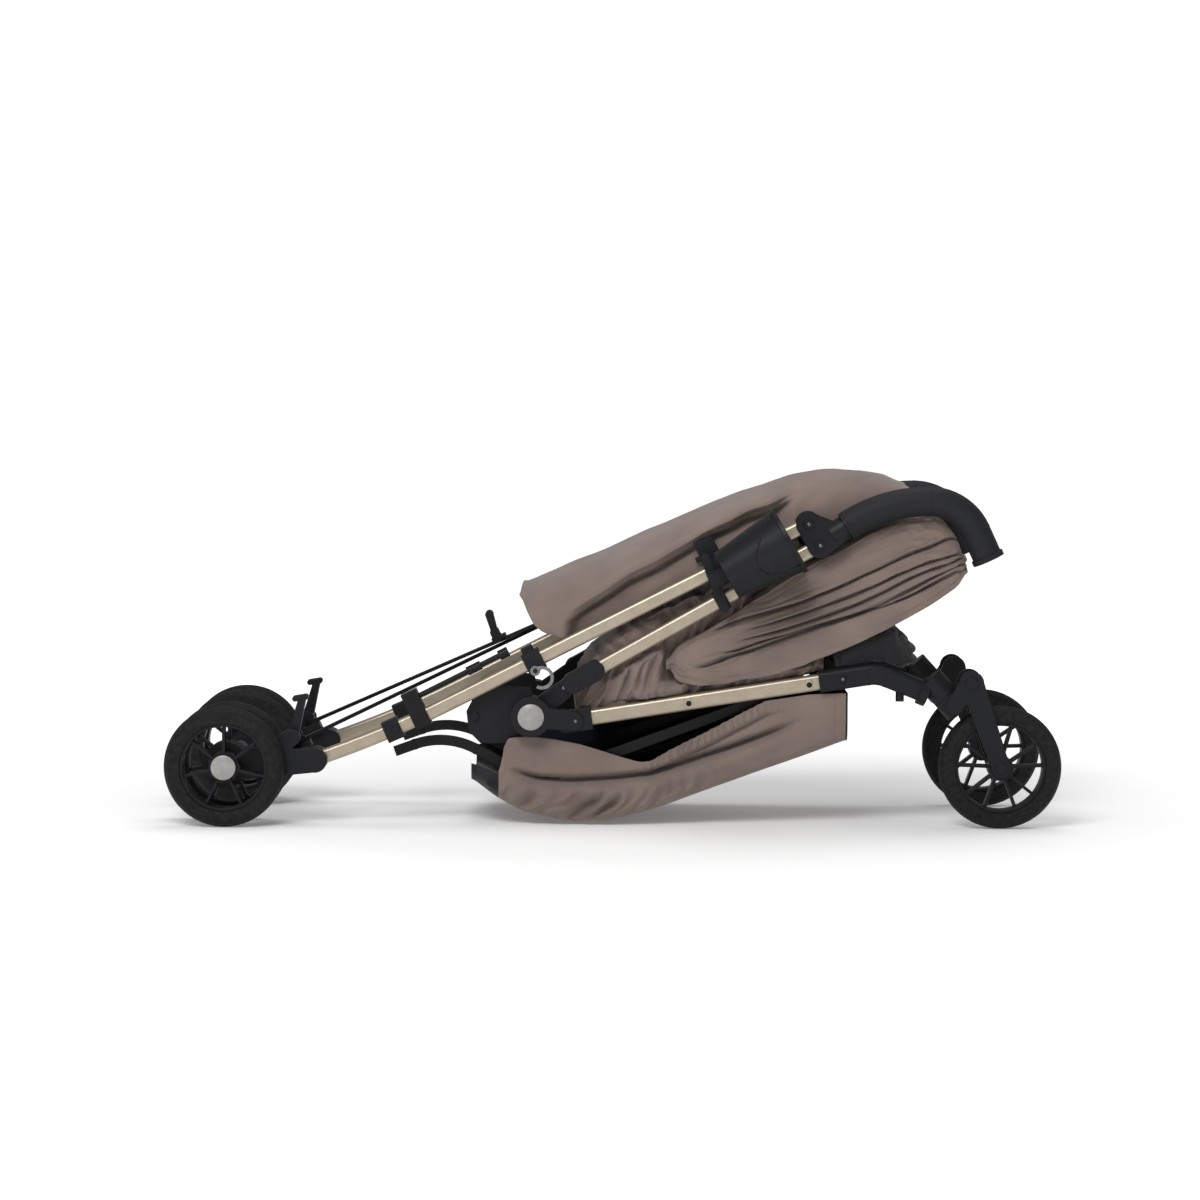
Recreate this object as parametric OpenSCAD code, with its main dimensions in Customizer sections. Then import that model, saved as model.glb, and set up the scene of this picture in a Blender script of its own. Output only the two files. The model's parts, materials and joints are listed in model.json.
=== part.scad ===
// Umbrella stroller, folded and standing on its wheels.
// X runs from the rear wheels to the front wheels, Y to the child's left, Z up.
// Every right-hand piece is drawn at negative Y, and its left-hand twin is its mirror image.

/* [Wheels] */
// Radius of the rear tyres
rear_r = 71; // [66:1:76]
// Radius of the front tyres
front_r = 73; // [68:1:78]
// Width of a rear tyre
rear_tyre_w = 27; // [22:1:30]
// Width of a front tyre
front_tyre_w = 26; // [22:1:28]
// Depth of a tyre from its rim to its tread
tyre_depth = 19; // [15:1:24]
// Thickness of a rim's ring
rim_ring = 4; // [3:0.5:6]
// Radius of a wheel's hub
wheel_hub_r = 15; // [12:1:18]
// Radius of the wheel axles
axle_r = 5; // [4:0.5:6]
// Thickness of a spoke
spoke_t = 3.6; // [3:0.2:5]
// Spokes of a rear wheel
rear_spokes = 7; // [5:1:9]
// Spoke pairs of a front wheel
front_spoke_pairs = 5; // [4:1:7]
// Radius of the caps on the outer rear wheels
rear_cap_r = 14.6; // [12:0.2:16]

/* [Stance] */
// Rear axle, along X
rear_axle_x = -459; // [-470:1:-445]
// Front axle, along X
front_axle_x = 457; // [445:1:470]
// Side planes of the tubes, from the middle of the stroller
track_y = 112; // [108:1:125]
// Hub, along X
hub_x = -99; // [-105:1:-92]
// Hub height
hub_z = 130; // [126:1:136]
// Leg rivet in the handle plates, along X
plate_x = 227; // [222:1:232]
// Height of the leg rivet
plate_z = 360; // [356:1:366]
// Distance between the leg rivet and the back rivet
rivet_gap = 28.6; // [27:0.2:32]

/* [Tubes] */
// Height of the leg and back tubes
tube_h = 17; // [15:0.5:19]
// Width of the leg, back and front tubes
tube_w = 15; // [13:0.5:16]
// Height of the front tubes
front_tube_h = 19; // [17:0.5:21]
// Wall of the tubes
tube_wall = 1.6; // [1.2:0.1:2.2]
// Corner radius of the tubes
tube_round = 4.5; // [3:0.5:6]
// Slope of the rear legs
leg_slope = 27; // [26:0.25:28]
// Straight length of a rear leg
leg_straight = 479; // [470:1:488]
// Bend radius near the foot of a rear leg
leg_bend_r = 1200; // [1000:50:1500]
// Bend angle near the foot of a rear leg
leg_bend = 8; // [7:0.25:9]
// Slope of the front tubes
front_slope = 9.2; // [8.5:0.1:10]
// Length of a front tube
front_len = 308; // [300:1:316]

/* [Handles] */
// Radius of the handle tubes
handle_tube_r = 11; // [9:0.5:12]
// Radius of the foam grips
grip_r = 17.5; // [15:0.5:19]
// Radius of the lip at a grip's end
grip_lip_r = 19.5; // [18:0.5:22]
// Thickness of a handle plate
plate_t = 3.8; // [3:0.2:4.6]
// Radius of the plates round their rivets
plate_r = 15; // [13:0.5:17]
// Radius of the frame rivets
rivet_r = 4; // [3:0.25:5]

/* [Cross bars] */
// Length of a cross bar between its pivots
bar_len = 552; // [544:1:560]
// Width of a cross bar
bar_w = 14; // [12:1:18]
// Thickness of a cross bar
bar_t = 4; // [3:0.5:6]
// Distance of a bar's pivots from the tube's plane
bar_inset = 27; // [25:1:30]
// Slope of the plane that the bars lie in
bar_slope = 25; // [24.5:0.25:25.5]
// Radius of the bar pivots
bar_pin_r = 3; // [2.5:0.25:4]

/* [Fittings] */
// Half width of the rear wheel housings
housing_half = 19; // [17:0.5:22]
// Radius of a housing round the axle
housing_r = 27; // [24:1:30]
// Radius of the hub discs
hub_r = 24; // [21:1:26]
// Radius of the caps on the hubs
hub_cap_r = 15.5; // [13:0.5:18]
// Radius of the hub pins
hub_pin_r = 6; // [5:0.5:8]
// Wall of the moulded collars round a tube
collar_wall = 4; // [3:0.5:5]
// Thickness of a fork cheek
cheek_t = 3.7; // [3:0.1:5]
// Radius of a caster barrel
barrel_r = 16.5; // [15:0.5:18]
// Radius of a caster pin
caster_pin_r = 6; // [5:0.5:8]
// Height of the basket rods
rod_h = 12; // [10:0.5:14]
// Width of the basket rods
rod_w = 6; // [5:0.5:7]
// Radius of the cup holder's mouth
cup_mouth_r = 41; // [38:1:46]
// Radius of the cup holder's foot
cup_foot_r = 30; // [26:1:33]
// Height of the cup holder
cup_h = 86; // [80:1:92]
// Wall of the cup holder
cup_wall = 2.4; // [2:0.2:3.4]

/* [Soft parts] */
// Thickness of the hanging cloth
cloth_t = 5; // [4:0.5:6]
// Half width of the hood and the basket
cloth_half = 112; // [106:1:116]
// Pleats in the folded hood
hood_pleats = 6; // [4:1:8]
// Depth of a hood pleat
pleat_depth = 6; // [3:0.5:7]
// Wall of the basket
basket_wall = 3; // [2.5:0.5:4]

/* [Hidden] */
$fn = 64;
// Running clearance round pins and axles
run_gap = 0.06;
// Clearance between a tube and what is moulded round it
seat_gap = 0.15;
// Clearance between a leg's bend and the fittings slid over it
bend_gap = 0.3;
// Clearance between faces that pass each other
pass_gap = 0.3;
// Lap between the straights and bends of a swept piece
lap = 0.4;

// Points of the side view, as [x, z]
function along(angle, distance) = [distance * cos(angle), distance * sin(angle)];
function cross_point(from, angle, x) = [x, from[1] + (x - from[0]) * tan(angle)];
rear_axle_p = [rear_axle_x, rear_r];
front_axle_p = [front_axle_x, front_r];
hub_p = [hub_x, hub_z];
leg_rivet_p = [plate_x, plate_z];
back_rivet_p = leg_rivet_p + along(-61, rivet_gap);
leg_bend_p = leg_rivet_p + along(leg_slope + 180, leg_straight);
leg_bend_c = leg_bend_p + along(leg_slope + 90, leg_bend_r);
function leg_curve_p(angle) = leg_bend_c + along(leg_slope - 90 - angle, leg_bend_r);
leg_end_p = leg_curve_p(leg_bend);
back_socket_p = hub_p + [52, 41.4];
back_slope = atan2(back_rivet_p[1] - back_socket_p[1], back_rivet_p[0] - back_socket_p[0]);
back_len = norm(back_rivet_p - back_socket_p);
front_start_p = hub_p + [50.2, -4.2];
front_end_p = front_start_p + along(front_slope, front_len);
brake_p = leg_end_p + [-27, 27];
bar_foot_p = leg_end_p + [-18, 18];
pivot_from_end = 23.6;
basket_pivot_p = front_start_p + along(front_slope, front_len - pivot_from_end);

lock_p = cross_point(leg_rivet_p, leg_slope, hub_x + 3);
hook_p = lock_p + along(leg_slope, -3) + along(leg_slope - 90, tube_h / 2 + 2);
hook_pin_r = 2.5;

// Side planes, as distances from the middle of the stroller
tube_in = track_y - tube_w / 2;
tube_out = track_y + tube_w / 2;
wheel_gap = 2;
outer_wheel_y = track_y + housing_half + wheel_gap + rear_tyre_w / 2;
inner_wheel_y = track_y - housing_half - wheel_gap - rear_tyre_w / 2;
wheel_hub_half = rear_tyre_w / 2 - 1;
plate_in = tube_in - pass_gap - plate_t;
plate_out = tube_out + pass_gap + plate_t;
bar_y = track_y - bar_inset;
bar_angle = asin(2 * bar_y / bar_len);
bar_reach = bar_len * cos(bar_angle);
bar_gap = 1;
bar_head_p = bar_foot_p + along(bar_slope, bar_reach);
fork_half = front_tyre_w / 2 + 2.3;
rod_y = track_y - 20.5;

// Casting, caster and fork
casting_h = 25;
casting_w = 23;
casting_lead = 44;
casting_bend_r = 45;
casting_bend = front_slope + 21.8;
casting_tail = 46;
casting_bend_p = front_end_p + along(front_slope, casting_lead);
casting_turn_p = casting_bend_p + along(front_slope - 90, casting_bend_r)
    + along(front_slope + 90 - casting_bend, casting_bend_r);
casting_end_p = casting_turn_p + along(front_slope - casting_bend, casting_tail);
swivel_angle = -47.5;
swivel_p = casting_end_p + [21.7, -0.5];
barrel_top = -22;
barrel_foot = 6;
fork_top_p = swivel_p + [34, 12];

// Handle path: a lead, a wide bend, a tight bend and a straight end
handle_start_p = back_rivet_p + [9, 8];
handle_slope = 33;
handle_lead = 30;
handle_wide_r = 175;
handle_tight_r = 60;
handle_turn = 65;
handle_tail = 36;
socket_from = 6;
socket_len = 19;
socket_wall = 3.5;
stub_len = 40;
handle_path = [[handle_lead, 0], [handle_wide_r, -handle_slope], [handle_tight_r, -handle_turn], [handle_tail, 0]];
handle_rest = [for (i = [1 : len(handle_path) - 1]) handle_path[i]];

// Basket rod path, from its rear end to its pivot on the front tube
rod_slope = 20;
rod_arch_r = 90;
rod_arch = 48;
rod_dip_r = 70;
rod_front_slope = 20.5;
rod_run = 314.8;
rod_lead = 25;
rod_fall = 50;
rod_path = [[rod_run, 0], [rod_dip_r, -rod_front_slope - rod_arch + rod_slope], [rod_fall, 0],
    [rod_arch_r, rod_arch], [rod_lead, 0]];

// Shapes shared by many pieces

// Sets local X along a direction of the side view
module at(p, angle = 0) translate([p[0], 0, p[1]]) rotate([0, -angle, 0]) children();

// Sets local Z outwards on a wheel's axle
module on_axle(p, y) translate([p[0], -y, p[1]]) rotate([90, 0, 0]) children();

// Extrudes a side-view outline between two distances from the middle
module slab(y_in, y_out) rotate([90, 0, 0]) translate([0, 0, y_in]) linear_extrude(y_out - y_in) children();

// Cylinder across the side planes
module pin(p, r, y_in, y_out) translate([p[0], -y_out, p[1]]) rotate([-90, 0, 0])
    cylinder(r = r, h = y_out - y_in);

// Rounded rectangle
module rounded(w, h, r) {
    square([w, h - 2 * r], center = true);
    square([w - 2 * r, h], center = true);
    for (sx = [-1, 1], sy = [-1, 1]) translate([sx * (w / 2 - r), sy * (h / 2 - r)]) circle(r);
}

// Section of a hollow tube
module tube_section(h) difference() {
    rounded(tube_w, h, tube_round);
    rounded(tube_w - 2 * tube_wall, h - 2 * tube_wall, tube_round - tube_wall);
}

// Outline that a tube slides through
module tube_hole(h) rounded(tube_w + 2 * seat_gap, h + 2 * seat_gap, tube_round);

// Bar between two points with round ends
module link(p, q, r) {
    translate(p) circle(r);
    translate(q) circle(r);
    translate(p) rotate(atan2(q[1] - p[1], q[0] - p[0])) translate([0, -0.97 * r])
        square([norm(q - p), 1.94 * r]);
}

// Tapered bar between two points with round ends
module taper(p, q, rp, rq) {
    translate(p) circle(rp);
    translate(q) circle(rq);
    translate(p) rotate(atan2(q[1] - p[1], q[0] - p[0]))
        polygon([[0, -0.97 * rp], [norm(q - p), -0.97 * rq], [norm(q - p), 0.97 * rq], [0, 0.97 * rp]]);
}

// Sweeps a section along straights [length, 0] and bends [radius, angle], from local X
// Stretches meet in a ferrule [width, height, corner], or else lap a little into each other
module sweep(path, ferrule = [], i = 0) {
    if (i < len(path)) {
        size = path[i][0];
        turn = path[i][1];
        plain = len(ferrule) == 0;
        if (i > 0 && !plain) translate([-1.5, 0, 0]) rotate([90, 0, 90]) linear_extrude(3)
            rounded(ferrule[0], ferrule[1], ferrule[2]);
        if (turn == 0) {
            before = plain && i > 0 ? lap : 0;
            behind = plain && i < len(path) - 1 ? lap : 0;
            translate([-before, 0, 0]) rotate([90, 0, 90]) linear_extrude(size + before + behind) children();
            translate([size, 0, 0]) sweep(path, ferrule, i + 1) children();
        } else {
            way = turn > 0 ? 1 : -1;
            translate([0, 0, way * size]) mirror([0, 0, way > 0 ? 0 : 1]) rotate([90, 90, 0])
                rotate_extrude(angle = abs(turn)) translate([size, 0]) rotate(90) children();
            translate([size * sin(abs(turn)), 0, way * size * (1 - cos(turn))]) rotate([0, -turn, 0])
                sweep(path, ferrule, i + 1) children();
        }
    }
}

// Sets local X at the end of a path
module after(path, i = 0) {
    if (i < len(path)) {
        size = path[i][0];
        turn = path[i][1];
        way = turn > 0 ? 1 : -1;
        if (turn == 0) translate([size, 0, 0]) after(path, i + 1) children();
        else translate([size * sin(abs(turn)), 0, way * size * (1 - cos(turn))]) rotate([0, -turn, 0])
            after(path, i + 1) children();
    } else children();
}

// Moulded block round a tube, with the tube's own outline cut through it
module collar(length, h) difference() {
    translate([-length / 2, -track_y - tube_w / 2 - collar_wall, -h / 2 - collar_wall])
        cube([length, tube_w + 2 * collar_wall, h + 2 * collar_wall]);
    translate([-length, -track_y, 0]) rotate([90, 0, 90]) linear_extrude(2 * length)
        tube_hole(h);
}

// Closed solid through rings of points, all of one count
module loft(rings) {
    n = len(rings[0]);
    m = len(rings);
    points = [for (ring = rings, p = ring) p];
    sides = [for (i = [0 : m - 2], j = [0 : n - 1], half = [0, 1]) half == 0
        ? [i * n + j, i * n + (j + 1) % n, (i + 1) * n + j]
        : [i * n + (j + 1) % n, (i + 1) * n + (j + 1) % n, (i + 1) * n + j]];
    first = [for (j = [n - 1 : -1 : 0]) j];
    last = [for (j = [0 : n - 1]) (m - 1) * n + j];
    polyhedron(points, concat(sides, [first, last]), convexity = 6);
}

// Wheels

module tyre(p, y, r, w) color("#262524") on_axle(p, y) rotate_extrude($fn = 96) intersection() {
    translate([r - tyre_depth, -w / 2]) square([tyre_depth, w]);
    translate([r - w * 1.05, 0]) circle(w * 1.05);
    translate([r - tyre_depth, 0]) circle(tyre_depth + 0.01);
}

module rear_tyre(y) tyre(rear_axle_p, y, rear_r, rear_tyre_w);

module front_tyre() tyre(front_axle_p, track_y, front_r, front_tyre_w);

module rim_ring_and_hub(r, w, hub_half) {
    difference() {
        cylinder(r = r, h = w - 5, center = true);
        cylinder(r = r - rim_ring, h = w, center = true);
    }
    cylinder(r = wheel_hub_r, h = 2 * hub_half, center = true);
}

module rear_rim(y) color("#2b2a29") on_axle(rear_axle_p, y) difference() {
    rim_r = rear_r - tyre_depth;
    union() {
        rim_ring_and_hub(rim_r, rear_tyre_w, wheel_hub_half);
        for (i = [0 : rear_spokes - 1]) rotate(i * 360 / rear_spokes + 90)
            translate([wheel_hub_r - 2, -spoke_t / 2, -rear_tyre_w * 0.26])
                cube([rim_r - rim_ring / 2 - wheel_hub_r + 2, spoke_t, rear_tyre_w * 0.52]);
        difference() {
            cylinder(r = wheel_hub_r + 5, h = rear_tyre_w * 0.44, center = true, $fn = rear_spokes);
            cylinder(r = wheel_hub_r - 1, h = rear_tyre_w, center = true);
        }
    }
    cylinder(r = axle_r + run_gap, h = 2 * rear_tyre_w, center = true);
}

module rear_cap() color("#d9d7d2") on_axle(rear_axle_p, outer_wheel_y + wheel_hub_half)
    rotate_extrude() intersection() {
        square([rear_cap_r, 3]);
        translate([0, -rear_cap_r * 2.6]) circle(rear_cap_r * 2.6 + 3, $fn = 360);
    }

module rear_axle() color("#b9b9bb") {
    inner_end = inner_wheel_y - wheel_hub_half;
    pin(rear_axle_p, axle_r, inner_end - 1, outer_wheel_y + wheel_hub_half - 0.2);
    pin(rear_axle_p, axle_r + 4, inner_end - 2, inner_end - pass_gap);
}

module front_rim() color("#2b2a29") on_axle(front_axle_p, track_y) difference() {
    rim_r = front_r - tyre_depth;
    union() {
        rim_ring_and_hub(rim_r, front_tyre_w, fork_half - 0.8);
        for (i = [0 : front_spoke_pairs - 1], way = [-1, 1]) rotate(i * 360 / front_spoke_pairs + 90)
            translate([wheel_hub_r - 3, way * 2.5 - spoke_t / 2, 0]) rotate(way * 16)
                translate([0, 0, -front_tyre_w * 0.26])
                    cube([rim_r - rim_ring / 2 - wheel_hub_r + 3.5, spoke_t, front_tyre_w * 0.52]);
    }
    cylinder(r = axle_r + run_gap, h = 3 * front_tyre_w, center = true);
}

// Rear legs

// Rings of the leg's section along its length, from its foot to its top
leg_steps = 8;
function rounded_points(w, h, r) = [for (k = [0 : 3], a = [0 : 15 : 90]) let(t = 180 - 90 * k - a)
    [(k == 0 || k == 3 ? -1 : 1) * (w / 2 - r) + r * cos(t), (k < 2 ? 1 : -1) * (h / 2 - r) + r * sin(t)]];
function leg_ring(p, slope, wall) =
    [for (q = rounded_points(tube_w - 2 * wall, tube_h - 2 * wall, tube_round - wall))
        [p[0] - q[1] * sin(slope), q[0] - track_y, p[1] + q[1] * cos(slope)]];
function leg_rings(wall, over) = concat(
    [leg_ring(leg_end_p + along(leg_slope - leg_bend + 180, 22 + over), leg_slope - leg_bend, wall)],
    [for (k = [leg_steps : -1 : 0]) let(turn = leg_bend * k / leg_steps)
        leg_ring(leg_curve_p(turn), leg_slope - turn, wall)],
    [leg_ring(leg_rivet_p + along(leg_slope, 12 + over), leg_slope, wall)]);
module rear_leg() color("#c3b197") difference() {
    loft(leg_rings(0, 0));
    loft(leg_rings(tube_wall, 1));
    pin(leg_rivet_p, rivet_r + run_gap, tube_in - 1, tube_out + 1);
}

// Space that the leg's tube takes in what is moulded round it
module leg_space() at(leg_rivet_p, leg_slope + 180) translate([leg_straight - 60, -track_y, 0])
    sweep([[60, 0], [leg_bend_r, -leg_bend], [23, 0]]) children();

// Section of that space in the pieces that only lie against the bend
module bend_hole() rounded(tube_w + 2 * bend_gap, tube_h + 2 * bend_gap, tube_round);

module rear_housing(level) color("#232222") difference() {
    ear_y = track_y - housing_half + 5;
    union() {
        difference() {
            slab(track_y - housing_half, track_y + housing_half) {
                translate(rear_axle_p) circle(housing_r);
                taper(rear_axle_p, leg_end_p, housing_r - 7, tube_h / 2 + collar_wall + 2);
                taper(rear_axle_p + [52, 14], brake_p, 14, 10);
            }
            slab(track_y - 8, track_y + 8) translate(brake_p) circle(17);
        }
        pin(brake_p, bar_pin_r, track_y - 15, track_y + 15);
        slab(track_y - housing_half, track_y - housing_half + 5)
            link(leg_end_p + [-18, 8], bar_foot_p - [0, 9], 9);
        at(bar_foot_p, bar_slope) {
            translate([-10, -ear_y, level - 8]) cube([20, 22, 8 - pass_gap]);
            translate([0, -bar_y, -6]) cylinder(r = bar_pin_r, h = level + bar_t + 6.6);
            translate([0, -bar_y, level + bar_t + pass_gap]) cylinder(r = bar_pin_r + 2.4, h = 1.6);
            translate([-10, -ear_y, -8]) cube([20, 5, level + 4]);
        }
    }
    pin(rear_axle_p, axle_r + run_gap, track_y - 30, track_y + 30);
    leg_space() tube_hole(tube_h);
}

module leg_collar() color("#232222") difference() {
    outer_y = tube_out + collar_wall;
    at(leg_curve_p(3.3), leg_slope - 3.3) {
        translate([-10, -outer_y, -tube_h / 2 - collar_wall])
            cube([20, tube_w + 2 * collar_wall, tube_h + 2 * collar_wall]);
        translate([4, -outer_y + 0.5, 0]) rotate([90, 0, 0]) cylinder(r = 4.4, h = 2.1);
    }
    leg_space() bend_hole();
}

module lock_rod() color("#3a3938") {
    rise = tube_h / 2 + 15;
    difference() {
        at(leg_curve_p(1.6), leg_slope - 1.6)
            translate([-10, -track_y - 11.5, -tube_h / 2 - 3]) cube([20, 23, tube_h + 28]);
        leg_space() bend_hole();
    }
    at(leg_curve_p(1.6), leg_slope) {
        translate([0, -track_y, rise]) rotate([0, 90, 0]) cylinder(r = 3.2, h = 128);
        translate([74, -track_y, rise]) rotate([0, 90, 0]) cylinder(r = 5.4, h = 18);
        translate([116, -track_y, rise]) rotate([0, 90, 0]) cylinder(r = 6, h = 12);
    }
}

module lock_collar() color("#232222") at(lock_p, leg_slope) {
    collar(22, tube_h);
    translate([-8, -track_y - 7, tube_h / 2 + collar_wall]) cube([14, 14, 7]);
    translate([-3, -tube_out - collar_wall, -tube_h / 2 - 2]) rotate([90, 0, 0])
        cylinder(r = hook_pin_r, h = 6.5);
}

module lock_hook() color("#c9c9cb") difference() {
    slab(tube_out + collar_wall + pass_gap, tube_out + collar_wall + 3.6) {
        translate(hook_p) circle(6);
        difference() {
            translate(hook_p + [8, -8]) circle(14);
            translate(hook_p + [8, -8]) circle(10);
            translate(hook_p + [8, -8]) rotate(150) square([30, 30]);
        }
    }
    pin(hook_p, hook_pin_r + run_gap, tube_out, tube_out + 20);
}

module brake_lever() color("#232222") difference() {
    slab(track_y - 7.5, track_y + 7.5) {
        taper(brake_p, brake_p + [11, 44], 7, 4.5);
        link(brake_p + [3, 45], brake_p + [15, 47], 3.5);
    }
    pin(brake_p, bar_pin_r + run_gap, track_y - 20, track_y + 20);
}

// Cross bars

module cross_bar(level) color("#1f1e1e") at(bar_foot_p, bar_slope)
    translate([0, -bar_y, level]) rotate(bar_angle) linear_extrude(bar_t) difference() {
        link([0, 0], [bar_len, 0], bar_w / 2);
        for (x = [0, bar_len / 2, bar_len]) translate([x, 0]) circle(bar_pin_r + run_gap);
    }

// The upper bar carries the pedal between two ears, over the middle of the cross
pedal_base = 2 * bar_t + bar_gap;
pedal_half = 11;
pedal_ear = 3;
pedal_rise = 10;
pedal_back = 4;
pedal_pin_r = 2.5;
pedal_eye_r = 5.5;
module pedal_frame() at(bar_foot_p, bar_slope) translate([bar_reach / 2, 0, pedal_base]) children();

module pedal_bracket() color("#1f1e1e") pedal_frame() {
    outer = pedal_half + pass_gap + pedal_ear;
    translate([-11, -outer, -0.5]) cube([18, 2 * outer, 4.5]);
    for (way = [-1, 1]) translate([-pedal_back, way * (outer - pedal_ear / 2) + pedal_ear / 2, pedal_rise])
        rotate([90, 0, 0]) linear_extrude(pedal_ear) link([0, 0], [0, -8], pedal_eye_r);
    translate([-pedal_back, outer - 1, pedal_rise]) rotate([90, 0, 0])
        cylinder(r = pedal_pin_r, h = 2 * outer - 2);
}

module left_cross_bar() {
    mirror([0, 1, 0]) cross_bar(bar_t + bar_gap);
    pedal_bracket();
}

// The collar on this leg holds the upper end of the other side's bar
module cross_collar(level) color("#232222") {
    at(cross_point(leg_rivet_p, leg_slope, bar_head_p[0] + 16), leg_slope) {
        collar(24, tube_h);
        translate([-12, -tube_in + 0.2, 0]) cube([24, collar_wall + 2, 34 + level]);
    }
    at(bar_head_p, bar_slope) translate([-9, -tube_in + 2, level - 6])
        cube([18, bar_inset + 2, 6 - pass_gap]);
}

module fold_pedal() color("#232222") pedal_frame()
    translate([-pedal_back, pedal_half, pedal_rise]) rotate([90, 0, 0]) difference() {
        linear_extrude(2 * pedal_half) {
            circle(pedal_eye_r);
            taper([0, 0], [3, 22], 4, 5);
        }
        translate([0, 0, -1]) cylinder(r = pedal_pin_r + run_gap, h = 2 * pedal_half + 2);
    }

// Handles

module handle_plate() color("#232222") {
    socket_p = handle_start_p + along(handle_slope, 9);
    for (y = [plate_in, tube_out + pass_gap]) difference() {
        slab(y, y + plate_t) {
            link(leg_rivet_p, back_rivet_p, plate_r);
            link(back_rivet_p, socket_p, plate_r - 0.5);
            link(leg_rivet_p, socket_p, plate_r - 0.5);
            polygon([leg_rivet_p, back_rivet_p, socket_p]);
        }
        at(handle_start_p, handle_slope) translate([socket_from + 1, -track_y, 0]) rotate([0, 90, 0])
            cylinder(r = handle_tube_r + 1, h = 60);
    }
    for (p = [leg_rivet_p, back_rivet_p]) {
        pin(p, rivet_r, plate_in + 1, plate_out - 1);
        pin(p, rivet_r + 2, plate_out - 0.5, plate_out + 1.6);
    }
    at(handle_start_p, handle_slope) translate([socket_from, -track_y, 0]) rotate([0, 90, 0]) difference() {
        cylinder(r = handle_tube_r + socket_wall, h = socket_len);
        translate([0, 0, 3]) cylinder(r = handle_tube_r + seat_gap, h = socket_len);
    }
}

// Straight steel stub that carries the moulded grip
module handle_tube() color("#c3b197") at(handle_start_p, handle_slope)
    translate([socket_from + 3, -track_y, 0]) rotate([0, 90, 0]) difference() {
        cylinder(r = handle_tube_r, h = stub_len);
        translate([0, 0, -1]) cylinder(r = handle_tube_r - tube_wall, h = stub_len + 2);
    }

// Round rod along a path, with a low mould line where two stretches meet
module round_sweep(path, r, i = 0) {
    if (i < len(path)) {
        size = path[i][0];
        turn = path[i][1];
        way = turn > 0 ? 1 : -1;
        if (i > 0) rotate([0, 90, 0]) cylinder(r = r + 0.25, h = 2, center = true);
        if (turn == 0) {
            rotate([0, 90, 0]) cylinder(r = r, h = size);
            translate([size, 0, 0]) round_sweep(path, r, i + 1);
        } else {
            translate([0, 0, way * size]) mirror([0, 0, way > 0 ? 0 : 1]) rotate([90, 90, 0])
                rotate_extrude(angle = abs(turn)) translate([size, 0]) circle(r);
            translate([size * sin(abs(turn)), 0, way * size * (1 - cos(turn))]) rotate([0, -turn, 0])
                round_sweep(path, r, i + 1);
        }
    }
}

module handle_grip() color("#1d1c1c") at(handle_start_p, handle_slope) {
    start = socket_from + socket_len + pass_gap;
    grip_path = concat([[handle_lead - start, 0]], handle_rest);
    translate([start, -track_y, 0]) difference() {
        union() {
            round_sweep(grip_path, grip_r);
            after(grip_path) rotate([0, 90, 0]) translate([0, 0, -4]) cylinder(r = grip_lip_r, h = 6);
        }
        translate([-1, 0, 0]) rotate([0, 90, 0])
            cylinder(r = handle_tube_r + run_gap, h = socket_from + 4 + stub_len - start + run_gap);
    }
}

// Backs and hubs

module back_tube() color("#c3b197") difference() {
    over = 12;
    at(back_rivet_p, back_slope + 180) translate([-over, -track_y, 0])
        sweep([[back_len + over, 0]]) tube_section(tube_h);
    pin(back_rivet_p, rivet_r + run_gap, tube_in - 1, tube_out + 1);
}

module back_arm() color("#232222") difference() {
    union() {
        slab(track_y - 15, track_y - pass_gap / 2) {
            translate(hub_p) circle(hub_r);
            taper(hub_p, back_socket_p, 14, tube_h / 2 + 2);
        }
        slab(tube_in - collar_wall, tube_out + collar_wall)
            translate(back_socket_p) rotate(back_slope) link([-2, 0], [26, 0], tube_h / 2 + collar_wall);
        slab(track_y - 15, tube_in - collar_wall - pass_gap) translate(hub_p)
            polygon([[-77, 4], [-66, 26], [-40, 34], [0, 33], [10, -8], [-16, -34], [-60, -34], [-74, -20]]);
        pin(hub_p + [-67, -2], 5, track_y - 14, track_y - 9);
    }
    pin(hub_p, hub_pin_r + run_gap, 0, 200);
    at(back_rivet_p, back_slope + 180) translate([0, -track_y, 0]) sweep([[back_len + seat_gap, 0]])
        tube_hole(tube_h);
}

module front_arm() color("#232222") difference() {
    union() {
        slab(track_y + pass_gap / 2, track_y + 16) {
            translate(hub_p) circle(hub_r);
            taper(hub_p, front_start_p, 14, front_tube_h / 2 + 2);
        }
        slab(track_y + pass_gap / 2, tube_out + collar_wall) translate(front_start_p) rotate(front_slope)
            link([-8, 0], [8, 0], front_tube_h / 2 + collar_wall);
        slab(tube_in - collar_wall, tube_out + collar_wall) translate(front_start_p) rotate(front_slope)
            translate([9, -front_tube_h / 2 - collar_wall]) square([13, front_tube_h + 2 * collar_wall]);
        pin(hub_p, hub_pin_r, track_y - 16.5, track_y + 14);
        pin(hub_p, hub_pin_r + 4, track_y - 17.5, track_y - 15 - pass_gap);
    }
    at(front_start_p, front_slope) translate([-seat_gap, -track_y, 0]) sweep([[60, 0]])
        tube_hole(front_tube_h);
}

module hub_cap() color("#dedcd6") on_axle(hub_p, track_y + 16) rotate_extrude() intersection() {
    square([hub_cap_r, 4]);
    translate([0, -hub_cap_r * 2.2]) circle(hub_cap_r * 2.2 + 4, $fn = 360);
}

// Front tubes and casters

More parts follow.
